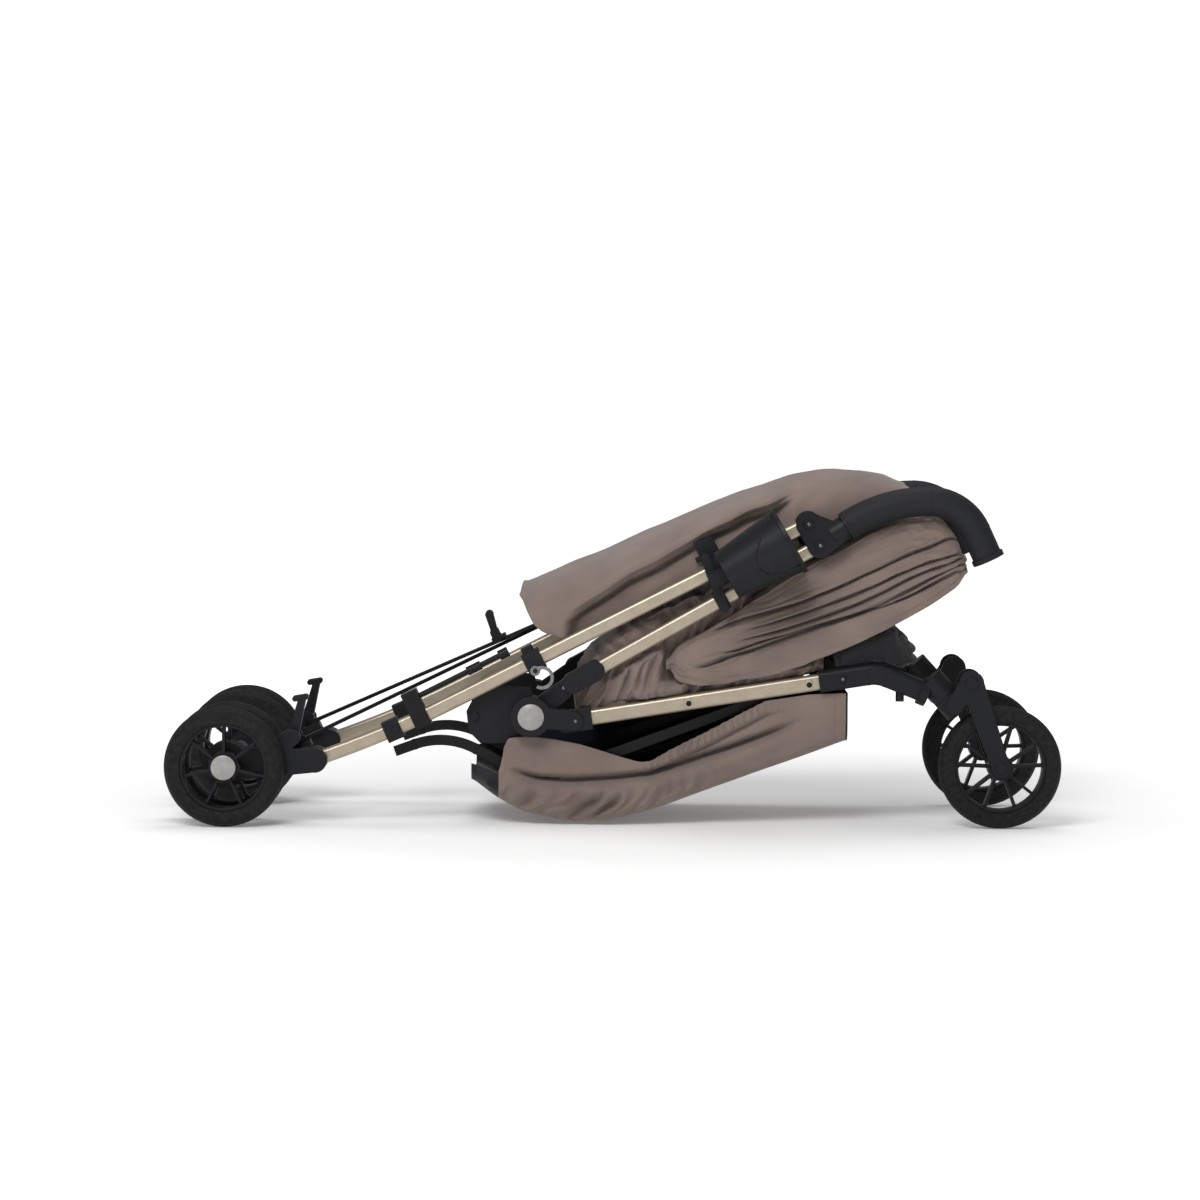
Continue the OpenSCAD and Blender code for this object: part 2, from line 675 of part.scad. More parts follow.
module front_tube() color("#c3b197") {
    at(front_start_p, front_slope) translate([0, -track_y, 0])
        sweep([[front_len, 0]]) tube_section(front_tube_h);
    pin(basket_pivot_p, bar_pin_r, rod_y - rod_w / 2 - 2, tube_in + 1);
    pin(basket_pivot_p, bar_pin_r + 2.4, rod_y - rod_w / 2 - 2, rod_y - rod_w / 2 - pass_gap);
    for (x = [138, front_len - 26]) at(front_start_p, front_slope) translate([x, -tube_out + 0.2, 1])
        rotate([90, 0, 0]) cylinder(r = 4.4, h = 2);
}

module front_casting() color("#232222") difference() {
    casting_face = track_y + casting_w / 2;
    union() {
        at(front_end_p, front_slope) translate([-14, -track_y, 0])
            sweep([[14 + casting_lead, 0], [casting_bend_r, -casting_bend], [casting_tail, 0]],
                [casting_w + 0.6, casting_h + 0.6, 6.3]) rounded(casting_w, casting_h, 6);
        at(swivel_p, swivel_angle) translate([barrel_top, -track_y, 0]) rotate([0, 90, 0])
            cylinder(r = barrel_r, h = barrel_foot - barrel_top);
        at(casting_end_p, front_slope - casting_bend) translate([-4, -track_y, 0])
            rotate([0, 90, 0]) cylinder(r = 16.5, h = 10);
        at(casting_turn_p + along(front_slope - casting_bend, 16), -90) translate([0, -track_y, 0])
            rotate([0, 90, 0]) cylinder(r = 5, h = 23);
        pin(front_end_p + along(front_slope, 14), 4.6, casting_face - 1, casting_face + 1.6);
    }
    at(front_end_p, front_slope) translate([-20, -track_y, 0]) sweep([[20 + seat_gap, 0]])
        tube_hole(front_tube_h);
    at(swivel_p, swivel_angle) translate([barrel_top + 4, -track_y, 0]) rotate([0, 90, 0])
        cylinder(r = caster_pin_r + run_gap, h = 60);
}

module caster_knuckle() {
    at(swivel_p, swivel_angle) translate([barrel_top + 5, -track_y, 0]) rotate([0, 90, 0])
        cylinder(r = caster_pin_r, h = barrel_foot - barrel_top);
    at(swivel_p, swivel_angle) translate([barrel_foot + pass_gap, -track_y, 0]) rotate([0, 90, 0])
        cylinder(r = barrel_r, h = 24);
    slab(track_y - fork_half - 1, track_y + fork_half + 1)
        link(swivel_p + along(swivel_angle, 21.5), fork_top_p, 10.5);
}

module fork_cheeks() {
    for (y = [track_y - fork_half - cheek_t, track_y + fork_half]) slab(y, y + cheek_t) {
        taper(fork_top_p, front_axle_p, 14.5, 11);
        taper(swivel_p + along(swivel_angle, 20), fork_top_p, 10, 13);
    }
    fork_face = fork_half + cheek_t;
    pin(front_axle_p, axle_r, track_y - fork_face - 2, track_y + fork_face + 2);
    for (p = [front_axle_p, fork_top_p])
        pin(p, axle_r + 2, track_y + fork_face - 0.5, track_y + fork_face + 2.2);
}

module caster_fork() color("#232222") {
    caster_knuckle();
    fork_cheeks();
}

// Basket rods

module basket_rod() color("#1f1e1e") difference() {
    at(basket_pivot_p, rod_front_slope + 180) translate([0, -rod_y, 0]) union() {
        sweep(rod_path, [rod_w + 1, rod_h + 1, 1.5]) square([rod_w, rod_h], center = true);
        rotate([90, 0, 0]) cylinder(r = rod_h / 2 + 2, h = rod_w + 0.6, center = true);
    }
    pin(basket_pivot_p, bar_pin_r + run_gap, 0, track_y + 40);
}

// Cup holder

cup_slope = 30;
cup_foot_p = back_rivet_p + [-112, -34];
cup_y = plate_out + 3 + cup_mouth_r;
cup_clip_p = back_rivet_p + along(back_slope + 180, 133);
cup_bar_p = cup_clip_p + [-19.5, 50];
cup_bar_in = tube_out + collar_wall + pass_gap;
cup_bar_t = 4;

// A flat bar clips to the back tube, crosses the leg and carries the cup
module cup_holder() color("#1b1a1a") {
    clip_h = tube_h + 2 * collar_wall;
    difference() {
        at(cup_clip_p, back_slope) translate([-7, -cup_bar_in - 1, -clip_h / 2])
            cube([14, cup_bar_in + 1 - track_y + 4, clip_h]);
        at(cup_clip_p, back_slope) translate([-20, -track_y, 0]) rotate([90, 0, 90]) linear_extrude(40)
            tube_hole(tube_h);
    }
    slab(cup_bar_in, cup_bar_in + cup_bar_t) link(cup_clip_p - [-3, 8], cup_bar_p, 6);
    difference() {
        union() {
            cup_frame() cylinder(r1 = cup_foot_r, r2 = cup_mouth_r, h = cup_h);
            cup_frame() translate([0, 0, cup_h - 5]) cylinder(r = cup_mouth_r + 1.4, h = 5);
            slab(cup_bar_in + 1, cup_y - cup_foot_r * 0.7)
                translate((cup_clip_p + cup_bar_p) / 2) rotate(cup_slope) translate([-5, -9]) square([24, 18]);
        }
        cup_frame() translate([0, 0, cup_wall])
            cylinder(r1 = cup_foot_r - cup_wall, r2 = cup_mouth_r - cup_wall, h = cup_h - cup_wall + 0.01);
    }
}

module cup_frame() translate([cup_foot_p[0], -cup_y, cup_foot_p[1]]) rotate([0, 90 - cup_slope, 0])
    children();

// Soft parts

function beside(p, slope, x, offset) = cross_point(p, slope, x)[1] + offset / cos(slope);
function back_under(x) = beside(back_rivet_p, back_slope, x, -tube_h / 2 - pass_gap);
function front_over(x) = beside(front_start_p, front_slope, x, front_tube_h / 2 + 1);
function front_under(x) = beside(front_start_p, front_slope, x, -front_tube_h / 2 - pass_gap);
function leg_over(x) = beside(leg_rivet_p, leg_slope, x, tube_h / 2);

// Lower and upper edges of the folded hood, by X
function hood_low(x) = lookup(x, [[60, 176], [90, front_over(90) + 1], [150, front_over(150) + 4],
    [218, 194], [336, 248], [404, 298]]);
function hood_high(x) = lookup(x, [[60, 205], [66, 218], [90, back_under(90)], [216, back_under(216) - 1],
    [241, 317], [264, 326], [300, 348], [340, 360], [385, 362], [404, 340]]);
hood_stations = [60, 66, 76, 90, 120, 150, 190, 216, 241, 264, 300, 340, 370, 390, 404];
function hood_ring(x, i) = let(
        steps = 4 * hood_pleats,
        low = hood_low(x),
        high = hood_high(x),
        swell = i == 0 || i == len(hood_stations) - 1 ? 0.9 : 1,
        half = [for (k = [0 : steps]) let(v = k / steps)
            [swell * (cloth_half - pleat_depth * (1 - sqrt(abs(sin(180 * hood_pleats * v))))
                - 10 * pow(2 * v - 1, 4)),
             low + (high - low) * v]])
    concat([for (p = half) [x, -p[0], p[1]]], [for (k = [steps : -1 : 0]) [x, half[k][0], half[k][1]]]);
module hood() color("#8d8074")
    loft([for (i = [0 : len(hood_stations) - 1]) hood_ring(hood_stations[i], i)]);

// Crest, hem and half width of the flap behind the hood, by X
function flap_top(x) = lookup(x, [[-112, 286], [-60, 312], [40, 352], [124, 392], [200, 413], [265, 424],
    [310, 416], [350, 402]]);
function flap_hem(x) = lookup(x, [[-112, 262], [-95, 240], [-80, leg_over(-80) + 14],
    [180, leg_over(180) + 14], [194, leg_over(194) + 14], [202, 350], [240, 350], [300, 372], [350, 392]]);
flap_seam = plate_in - pass_gap - track_y;
function flap_half(x) = track_y + lookup(x, [[-112, 7], [180, 8], [194, -15], [206, -15], [214, flap_seam],
    [230, flap_seam], [240, -19], [262, -22], [350, -26]]);
function flap_arch(x, inset) = [for (a = [-90 : 7.5 : 90]) let(s = sin(a), c = cos(a))
    [x, sign(s) * pow(abs(s), 0.55) * (flap_half(x) - inset),
     flap_hem(x) + pow(max(c, 0), 0.75) * (flap_top(x) - inset - flap_hem(x))]];
flap_stations = [-112, -95, -80, -40, 0, 40, 80, 124, 160, 180, 194, 206, 214, 230, 240, 265, 300, 350];
module hood_flap() color("#8d8074") loft([for (x = flap_stations)
    concat([for (p = flap_arch(x, 0)) p], [for (i = [24 : -1 : 0]) flap_arch(x, cloth_t)[i]])]);

// Crumpled seat cloth between the tubes
seat_half = tube_in - 0.7;
function seat_low(x) = lookup(x, [[-24, 168], [0, 156], [40, 164], [52, 190], [58, 232], [90, 256],
    [150, 284], [196, 312]]);
function seat_high(x) = lookup(x, [[-24, 196], [0, 224], [40, 246], [58, 254], [90, 264], [150, 292],
    [196, 320]]);
seat_stations = [-24, -14, 0, 14, 28, 40, 52, 58, 90, 120, 150, 196];
function seat_ring(x, i) = let(low = seat_low(x), high = seat_high(x))
    concat([for (k = [0 : 12]) seat_point(x, i, k / 12, -1, low, high)],
           [for (k = [12 : -1 : 0]) seat_point(x, i, k / 12, 1, low, high)]);
function seat_point(x, i, v, way, low, high) = [x + 3 * sin(720 * v),
    way * (seat_half - (x < 0 ? collar_wall + 1 : 0) - 5 * pow(sin(540 * v + 70 * i), 2)),
    low + (high - low) * v];
module seat_cloth() color("#7f7368")
    loft([for (i = [0 : len(seat_stations) - 1]) seat_ring(seat_stations[i], i)]);

// Basket: hem and floor, by X
casting_low_p = front_end_p + along(front_slope, -14) + along(front_slope - 90, casting_h / 2);
basket_hem = casting_low_p[1] - pass_gap;
function basket_top(x) = lookup(x, [[-134, 92], [-60, 80], [-18, 74], [29, 70], [90, 106], [147, 138],
    [238, basket_hem], [277, basket_hem]]);
function basket_low(x) = lookup(x, [[-134, 26], [-90, 10], [-53, 4], [29, 13], [100, 40], [200, 76],
    [277, 104]]);
basket_stations = [-134, -110, -90, -70, -53, -20, 10, 29, 60, 90, 120, 147, 180, 210, 238, 260, 277];
function basket_ring(x, inset, top) = let(half = cloth_half + 5 - inset, low = basket_low(x) + inset)
    concat([[x, half, top]],
           [for (a = [0 : 15 : 90]) [x, half - 22 * (1 - cos(a)), low + 22 * (1 - sin(a))]],
           [for (a = [90 : -15 : 0]) [x, -half + 22 * (1 - cos(a)), low + 22 * (1 - sin(a))]],
           [[x, -half, top]]);
module basket() color("#847869") difference() {
    loft([for (x = basket_stations) basket_ring(x, 0, basket_top(x))]);
    loft([for (x = basket_stations) basket_ring(x * 0.985 + 1, basket_wall, basket_top(x) + 40)]);
    for (way = [-1, 1]) translate([-140, way * rod_y - 8, 52]) cube([16, 16, 80]);
}

// Ribbed foot mat that lies on the front castings
mat_half = track_y;
mat_rib_r = 5.5;
mat_p = casting_bend_p - [0, 0.8];
module foot_mat() color("#1f1e1e") {
    slab(-mat_half, mat_half) translate(mat_p)
        polygon([[-37, 7.8], [5, 15], [20, 14.4], [42, 6.5], [52, 14], [53, 30], [42, 42], [29, 52], [-37, 21]]);
    for (p = [[31, 49], [43, 41.5], [52, 30.5], [54, 18]])
        pin(mat_p + p, mat_rib_r, 1 - mat_half, mat_half - 1);
}

rear_axle();  // right_rear_axle
mirror([0, 1, 0]) rear_axle();  // left_rear_axle
rear_rim(outer_wheel_y);  // right_outer_rim
mirror([0, 1, 0]) rear_rim(outer_wheel_y);  // left_outer_rim
rear_tyre(outer_wheel_y);  // right_outer_tyre
mirror([0, 1, 0]) rear_tyre(outer_wheel_y);  // left_outer_tyre
rear_rim(inner_wheel_y);  // right_inner_rim
mirror([0, 1, 0]) rear_rim(inner_wheel_y);  // left_inner_rim
rear_tyre(inner_wheel_y);  // right_inner_tyre
mirror([0, 1, 0]) rear_tyre(inner_wheel_y);  // left_inner_tyre
rear_cap();  // right_rear_cap
mirror([0, 1, 0]) rear_cap();  // left_rear_cap
rear_leg();  // right_rear_leg
mirror([0, 1, 0]) rear_leg();  // left_rear_leg
rear_housing(0);  // right_rear_housing
mirror([0, 1, 0]) rear_housing(bar_t + bar_gap);  // left_rear_housing
leg_collar();  // right_leg_collar
mirror([0, 1, 0]) leg_collar();  // left_leg_collar
brake_lever();  // right_brake_lever
mirror([0, 1, 0]) brake_lever();  // left_brake_lever
cross_bar(0);  // right_cross_bar
left_cross_bar();
cross_collar(bar_t + bar_gap);  // right_cross_collar
mirror([0, 1, 0]) cross_collar(0);  // left_cross_collar
handle_plate();  // right_handle_plate
mirror([0, 1, 0]) handle_plate();  // left_handle_plate
handle_tube();  // right_handle_tube
mirror([0, 1, 0]) handle_tube();  // left_handle_tube
handle_grip();  // right_handle_grip
mirror([0, 1, 0]) handle_grip();  // left_handle_grip
back_tube();  // right_back_tube
mirror([0, 1, 0]) back_tube();  // left_back_tube
back_arm();  // right_back_arm
mirror([0, 1, 0]) back_arm();  // left_back_arm
front_tube();  // right_front_tube
mirror([0, 1, 0]) front_tube();  // left_front_tube
front_arm();  // right_front_arm
mirror([0, 1, 0]) front_arm();  // left_front_arm
hub_cap();  // right_hub_cap
mirror([0, 1, 0]) hub_cap();  // left_hub_cap
front_casting();  // right_front_casting
mirror([0, 1, 0]) front_casting();  // left_front_casting
caster_fork();  // right_caster_fork
mirror([0, 1, 0]) caster_fork();  // left_caster_fork
front_rim();  // right_front_rim
mirror([0, 1, 0]) front_rim();  // left_front_rim
front_tyre();  // right_front_tyre
mirror([0, 1, 0]) front_tyre();  // left_front_tyre
basket_rod();  // right_basket_rod
mirror([0, 1, 0]) basket_rod();  // left_basket_rod
lock_rod();
lock_collar();
lock_hook();
fold_pedal();
cup_holder();
hood();
hood_flap();
seat_cloth();
basket();
foot_mat();
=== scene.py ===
import json
import math

import bmesh
import bpy
import numpy as np
from mathutils import Matrix, Vector, noise


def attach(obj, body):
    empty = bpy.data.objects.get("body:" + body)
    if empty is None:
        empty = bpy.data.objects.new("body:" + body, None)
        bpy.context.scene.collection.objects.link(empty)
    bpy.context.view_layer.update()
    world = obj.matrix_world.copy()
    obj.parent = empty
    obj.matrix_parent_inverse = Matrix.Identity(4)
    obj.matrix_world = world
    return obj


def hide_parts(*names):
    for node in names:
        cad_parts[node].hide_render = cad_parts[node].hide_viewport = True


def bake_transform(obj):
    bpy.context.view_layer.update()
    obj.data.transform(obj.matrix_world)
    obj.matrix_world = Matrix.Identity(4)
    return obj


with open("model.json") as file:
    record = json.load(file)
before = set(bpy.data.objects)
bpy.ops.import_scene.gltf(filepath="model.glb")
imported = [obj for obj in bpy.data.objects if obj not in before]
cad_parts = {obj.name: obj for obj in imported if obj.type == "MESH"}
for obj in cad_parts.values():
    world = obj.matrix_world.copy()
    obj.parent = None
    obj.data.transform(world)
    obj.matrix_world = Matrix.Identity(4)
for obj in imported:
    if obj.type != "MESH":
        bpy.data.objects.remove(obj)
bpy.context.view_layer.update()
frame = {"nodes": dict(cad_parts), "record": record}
nodes = frame["nodes"]
scene = bpy.context.scene
MM = 0.001


# Materials

# Colours below this are blacks, which get a duller shine
BLACK = 0.1
BLACK_SHINE = 0.2
# Scales of the patterns, in repeats per metre
TYRE_PEBBLES = 420
TYRE_TONES = 160
THREADS = 2600.0 / 6.3
CLOTH_CREASES = 38
CLOTH_TONES = 22


def shader(name, color, rough, metal=0.0):
    """A principled material with object coordinates; returns the material, its nodes and its shader."""
    mat = bpy.data.materials.new(name)
    mat.use_nodes = True
    tree = mat.node_tree
    body = tree.nodes["Principled BSDF"]
    body.inputs["Base Color"].default_value = (*color, 1)
    body.inputs["Roughness"].default_value = rough
    body.inputs["Metallic"].default_value = metal
    if max(color) < BLACK:
        body.inputs["Specular IOR Level"].default_value = BLACK_SHINE
    place = tree.nodes.new("ShaderNodeTexCoord")
    return mat, tree, body, place.outputs["Object"]


def noise_node(tree, coords, scale, detail=3.0):
    """A cloudy value on the surface."""
    node = tree.nodes.new("ShaderNodeTexNoise")
    node.inputs["Scale"].default_value = scale
    node.inputs["Detail"].default_value = detail
    tree.links.new(coords, node.inputs["Vector"])
    return node.outputs["Fac"]


def bump(tree, body, height, strength, distance, edge=0.0):
    """Bumps the surface by a height, on edges rounded by a small radius if one is given."""
    node = tree.nodes.new("ShaderNodeBump")
    node.inputs["Strength"].default_value = strength
    node.inputs["Distance"].default_value = distance
    tree.links.new(height, node.inputs["Height"])
    if edge:
        round_off = tree.nodes.new("ShaderNodeBevel")
        round_off.samples = 4
        round_off.inputs["Radius"].default_value = edge
        tree.links.new(round_off.outputs["Normal"], node.inputs["Normal"])
    tree.links.new(node.outputs["Normal"], body.inputs["Normal"])


def vary(tree, body, value, dark, light, low=0.3, high=0.7):
    """Colours the surface between two tones by a value."""
    ramp = tree.nodes.new("ShaderNodeValToRGB")
    ramp.color_ramp.elements[0].position = low
    ramp.color_ramp.elements[0].color = (*dark, 1)
    ramp.color_ramp.elements[1].position = high
    ramp.color_ramp.elements[1].color = (*light, 1)
    tree.links.new(value, ramp.inputs["Fac"])
    tree.links.new(ramp.outputs["Color"], body.inputs["Base Color"])


def grained(name, dark, light, rough, metal, scale, strength, distance, edge):
    """A material between two tones, with a grain of a given scale and height, and soft edges."""
    mat, tree, body, coords = shader(name, light, rough, metal)
    value = noise_node(tree, coords, scale)
    bump(tree, body, value, strength, distance, edge)
    vary(tree, body, value, dark, light)
    return mat


def tyre_material(name):
    """Foam tyre with a pebbled surface."""
    mat, tree, body, coords = shader(name, (0.03, 0.03, 0.03), 0.72)
    cells = tree.nodes.new("ShaderNodeTexVoronoi")
    cells.inputs["Scale"].default_value = TYRE_PEBBLES
    tree.links.new(coords, cells.inputs["Vector"])
    bump(tree, body, cells.outputs["Distance"], 0.6, 0.0012, 0.002)
    tones = noise_node(tree, coords, TYRE_TONES)
    vary(tree, body, tones, (0.005, 0.005, 0.005), (0.014, 0.014, 0.0135))
    return mat


def cloth_material(name, dark, light):
    """Close woven cloth: two fine bands of threads and a soft unevenness."""
    mat, tree, body, coords = shader(name, light, 0.86)
    body.inputs["Sheen Weight"].default_value = 0.25
    body.inputs["Sheen Roughness"].default_value = 0.5
    threads = []
    for axis in ("X", "Z"):
        wave = tree.nodes.new("ShaderNodeTexWave")
        wave.bands_direction = axis
        wave.inputs["Scale"].default_value = THREADS
        wave.inputs["Distortion"].default_value = 0.6
        tree.links.new(coords, wave.inputs["Vector"])
        threads.append(wave.outputs["Fac"])
    join = tree.nodes.new("ShaderNodeMath")
    join.operation = "ADD"
    tree.links.new(threads[0], join.inputs[0])
    tree.links.new(threads[1], join.inputs[1])
    soft = tree.nodes.new("ShaderNodeMath")
    soft.operation = "MULTIPLY_ADD"
    tree.links.new(noise_node(tree, coords, CLOTH_CREASES, 5), soft.inputs[0])
    soft.inputs[1].default_value = 1.2
    tree.links.new(join.outputs[0], soft.inputs[2])
    bump(tree, body, soft.outputs[0], 0.35, 0.0012)
    vary(tree, body, noise_node(tree, coords, CLOTH_TONES, 6), dark, light)
    return mat


TAUPE_DARK = (0.176, 0.131, 0.112)
TAUPE = (0.226, 0.168, 0.144)
mats = {
    "champagne_tube": grained(
        "champagne_tube", (0.37, 0.316, 0.242), (0.43, 0.371, 0.287), 0.36, 0.75, 60, 0.03, 0.0004, 0.001),
    "black_plastic": grained(
        "black_plastic", (0.006, 0.0065, 0.0078), (0.0105, 0.011, 0.013), 0.44, 0.0, 900, 0.12, 0.0003,
        0.0018),
    "black_bar": grained(
        "black_bar", (0.0065, 0.0065, 0.0075), (0.011, 0.011, 0.012), 0.36, 0.2, 300, 0.05, 0.0003, 0.001),
    "foam": grained(
        "foam", (0.009, 0.0095, 0.011), (0.016, 0.0165, 0.019), 0.58, 0.0, 1400, 0.30, 0.0005, 0.002),
    "tyre": tyre_material("tyre"),
    "steel": grained("steel", (0.16, 0.16, 0.165), (0.24, 0.24, 0.245), 0.34, 1.0, 220, 0.05, 0.0003, 0.0008),
    "pale_cap": grained(
        "pale_cap", (0.27, 0.26, 0.25), (0.34, 0.33, 0.315), 0.30, 0.0, 120, 0.03, 0.0003, 0.001),
    "taupe_cloth": cloth_material("taupe_cloth", TAUPE_DARK, TAUPE),
    "dark_cloth": cloth_material("dark_cloth", (0.007, 0.0075, 0.009), (0.013, 0.0135, 0.016)),
}
navy_mat = cloth_material("lining", (0.006, 0.008, 0.016), (0.012, 0.015, 0.028))

slots = {row["node"]: row["material_slot"] for row in frame["record"]["subparts"]}
for name, obj in nodes.items():
    obj.data.materials.clear()
    obj.data.materials.append(mats[slots[name]])


# Shapes

# Stiffness of the cloth that is let settle
STIFF = 8.0


def lerp(x, table):
    """Value at x of a list of (x, value) pairs, by straight lines between them."""
    xs, ys = zip(*table)
    return float(np.interp(x, xs, ys))


def smooth(table, x, width=12.0):
    """The same, averaged over a width so that the line has no corners."""
    return sum(lerp(x + width * k / 4, table) for k in range(-4, 5)) / 9


def make(name, verts, faces, mat, body=None, replaced=()):
    """A smooth piece from points in millimetres, on a body or in place of CAD nodes."""
    mesh = bpy.data.meshes.new(name)
    mesh.from_pydata([Vector(v) * MM for v in verts], [], faces)
    mesh.validate()
    obj = bpy.data.objects.new(name, mesh)
    scene.collection.objects.link(obj)
    work = bmesh.new()
    work.from_mesh(mesh)
    bmesh.ops.recalc_face_normals(work, faces=work.faces)
    work.to_mesh(mesh)
    work.free()
    for p in mesh.polygons:
        p.use_smooth = True
    mesh.materials.append(mat)
    if body:
        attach(obj, body)
    if replaced:
        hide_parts(*replaced)
    return obj


def grid_faces(rows, cols, loop=False):
    """Faces between rows of points; a loop joins the last column to the first."""
    faces = []
    for i in range(rows - 1):
        for j in range(cols if loop else cols - 1):
            k = (j + 1) % cols
            faces.append((i * cols + j, i * cols + k, (i + 1) * cols + k, (i + 1) * cols + j))
    return faces


def closed(rows, cols):
    """Faces of a tube of rings with both ends capped."""
    faces = grid_faces(rows, cols, True)
    faces.append(tuple(range(cols)))
    faces.append(tuple((rows - 1) * cols + j for j in range(cols)))
    return faces


def wrinkle(x, y, z, size):
    """A smooth noise from -1 to 1 with waves of a given size."""
    return noise.noise(Vector((x / size, y / size, z / size)))


def ease(t):
    """A soft step from 0 to 1."""
    t = min(1.0, max(0.0, t))
    return t * t * (3 - 2 * t)


def settle(obj, frames, pressure, grow, cap):
    """Lets a closed piece of cloth settle: a little too large for its form, filled by a light pressure."""
    mesh = obj.data
    start = np.array([v.co for v in mesh.vertices])
    cloth = obj.modifiers.new("settle", "CLOTH")
    cloth.settings.quality = 5
    cloth.settings.mass = 0.2
    cloth.settings.tension_stiffness = STIFF
    cloth.settings.compression_stiffness = STIFF
    cloth.settings.shear_stiffness = STIFF / 3
    cloth.settings.bending_stiffness = 0.2
    cloth.settings.shrink_min = -grow
    cloth.settings.effector_weights.gravity = 0
    cloth.settings.use_pressure = pressure > 0
    cloth.settings.uniform_pressure_force = pressure
    cloth.point_cache.frame_start = 1
    cloth.point_cache.frame_end = frames
    for step in range(1, frames + 1):
        scene.frame_set(step)
    shown = obj.evaluated_get(bpy.context.evaluated_depsgraph_get()).to_mesh()
    moved = np.array([v.co for v in shown.vertices]) - start
    reach = np.linalg.norm(moved, axis=1, keepdims=True)
    moved *= np.minimum(1, cap / np.maximum(reach, 1e-9))
    obj.modifiers.remove(cloth)
    mesh.vertices.foreach_set("co", (start + moved).astype(np.float32).ravel())
    mesh.update()
    scene.frame_set(1)


# Hood: a wide smooth brim below, a bunch of long pleats, and a smooth roll under the back tube
# The outlines are pairs of x and z; each pleat has the x where it begins and its line

HOOD_HALF = 113.0
HOOD_LOW = [(62, 192), (66, 178), (76, 168), (100, 165), (132, 170), (170, 178), (223, 193), (283, 219),
            (320, 236), (373, 263), (404, 284), (420, 306)]
HOOD_HIGH = [(62, 196), (66, 208), (78, 220), (109, 234), (147, 253), (216, 304), (241, 315), (264, 325),
             (300, 346), (340, 362), (371, 372), (388, 366), (404, 346), (412, 324), (420, 309)]
PLEATS = [
    (84, [(79, 178), (117, 194), (155, 207), (245, 239), (320, 264), (369, 284), (420, 311)]),
    (112, [(102, 192), (155, 214), (207, 229), (282, 252), (369, 292), (420, 318)]),
    (140, [(145, 219), (207, 238), (282, 262), (357, 299), (420, 326)]),
    (146, [(145, 231), (207, 249), (282, 275), (357, 311), (420, 332)]),
    (104, [(96, 226), (169, 251), (244, 275), (319, 311), (394, 346), (420, 338)]),
]


def hood_out(x, z, low, high, side):
    """How far the cloth stands out from the middle at a point of the side view."""
    lines = [smooth(line, x, 8) + 1.2 * wrinkle(x, 30 * k, side, 40) for k, (_, line) in enumerate(PLEATS)]
    lift = min(1.0, max(0.0, (z - low) / max(1.0, high - low)))
    out = HOOD_HALF - 15 * lift ** 5
    if z < lines[0]:
        out += 3.5 * ease((x - 84) / 50) * (1 - ease((z - low) / max(6.0, lines[0] - low)))
    for k, (start, _) in enumerate(PLEATS):
        fade = ease((x - start) / 46) * (0.45 + 0.55 * ease((416 - x) / 60))
        gap = z - lines[k]
        out -= (15.0 if k in (0, 4) else 12.0) * fade * math.exp(-(gap / 1.8) ** 2)
        out += 2.6 * fade * math.exp(-((gap - 4.2) / 2.6) ** 2)
    edge = min(z - low, (high - z) * 1.3, (x - 61) * 1.1) if x < 112 else z - low
    out += 2.0 * math.exp(-((edge - 2.2) / 1.5) ** 2) - 1.3 * math.exp(-((edge - 7.5) / 1.1) ** 2)
    soft_wave = 3.2 * wrinkle(x * 0.45 + z * 0.3, side, z, 34) + 1.5 * wrinkle(x * 0.8, side + 4, z * 0.6, 15)
    out += soft_wave * (1.0 if z > lines[4] or x < 150 else 0.45)
    knot = math.exp(-((x - 356) / 20) ** 2) * ease((z - lines[4] + 6) / 8)
    return out + 5 * knot * wrinkle(x, side + 8, z, 7)


def hood_mesh():
    runs = [(62, 90, 20), (92, 392, 130), (394, 419.5, 16)]
    stations = np.concatenate([np.linspace(*run) for run in runs])
    shares = np.linspace(0, 1, 130)
    verts = []
    for x in stations:
        low, high = smooth(HOOD_LOW, x, 5), smooth(HOOD_HIGH, x, 5)
        close = math.sqrt(max(0.0, 1 - ((88 - x) / 27) ** 2)) if x < 88 else 1.0
        if x > 398:
            close = math.sqrt(max(0.0, 1 - ((x - 398) / 22) ** 2))
        close = 0.88 + 0.12 * close
        levels = [low + (high - low) * v for v in shares]
        verts += [(x, -close * hood_out(x, z, low, high, 0), z) for z in levels]
        verts += [(x, close * hood_out(x, z, low, high, 50), z) for z in levels[::-1]]
    return verts, closed(len(stations), 2 * len(shares))


verts, faces = hood_mesh()
hood = make("hood_pack", verts, faces, mats["taupe_cloth"], replaced=("hood",))
settle(hood, frames=8, pressure=1.0, grow=0.02, cap=0.003)

# Flap behind the hood: an arch of cloth over the legs, with a long tuck along each side

FLAP_TOP = [(-112, 279), (-60, 302), (-20, 318), (40, 346), (80, 365), (142, 389), (203, 412), (240, 420),
            (273, 423), (300, 420), (323, 415), (350, 402)]
FLAP_HEM = [(-112, 276), (-106, 258), (-96, 238), (-84, 229), (-72, 227), (-62, 222), (-50, 220), (0, 246),
            (60, 276), (120, 306), (186, 340), (206, 346), (240, 350), (300, 372), (350, 392)]
FLAP_HALF = [(-112, 118), (180, 119), (194, 98), (232, 91), (350, 86)]
TUCK = [(-60, 246), (-42, 260), (18, 299), (63, 322), (101, 344), (154, 372), (195, 387), (221, 402),
        (260, 416)]
FLAP_THICK = 0.0022


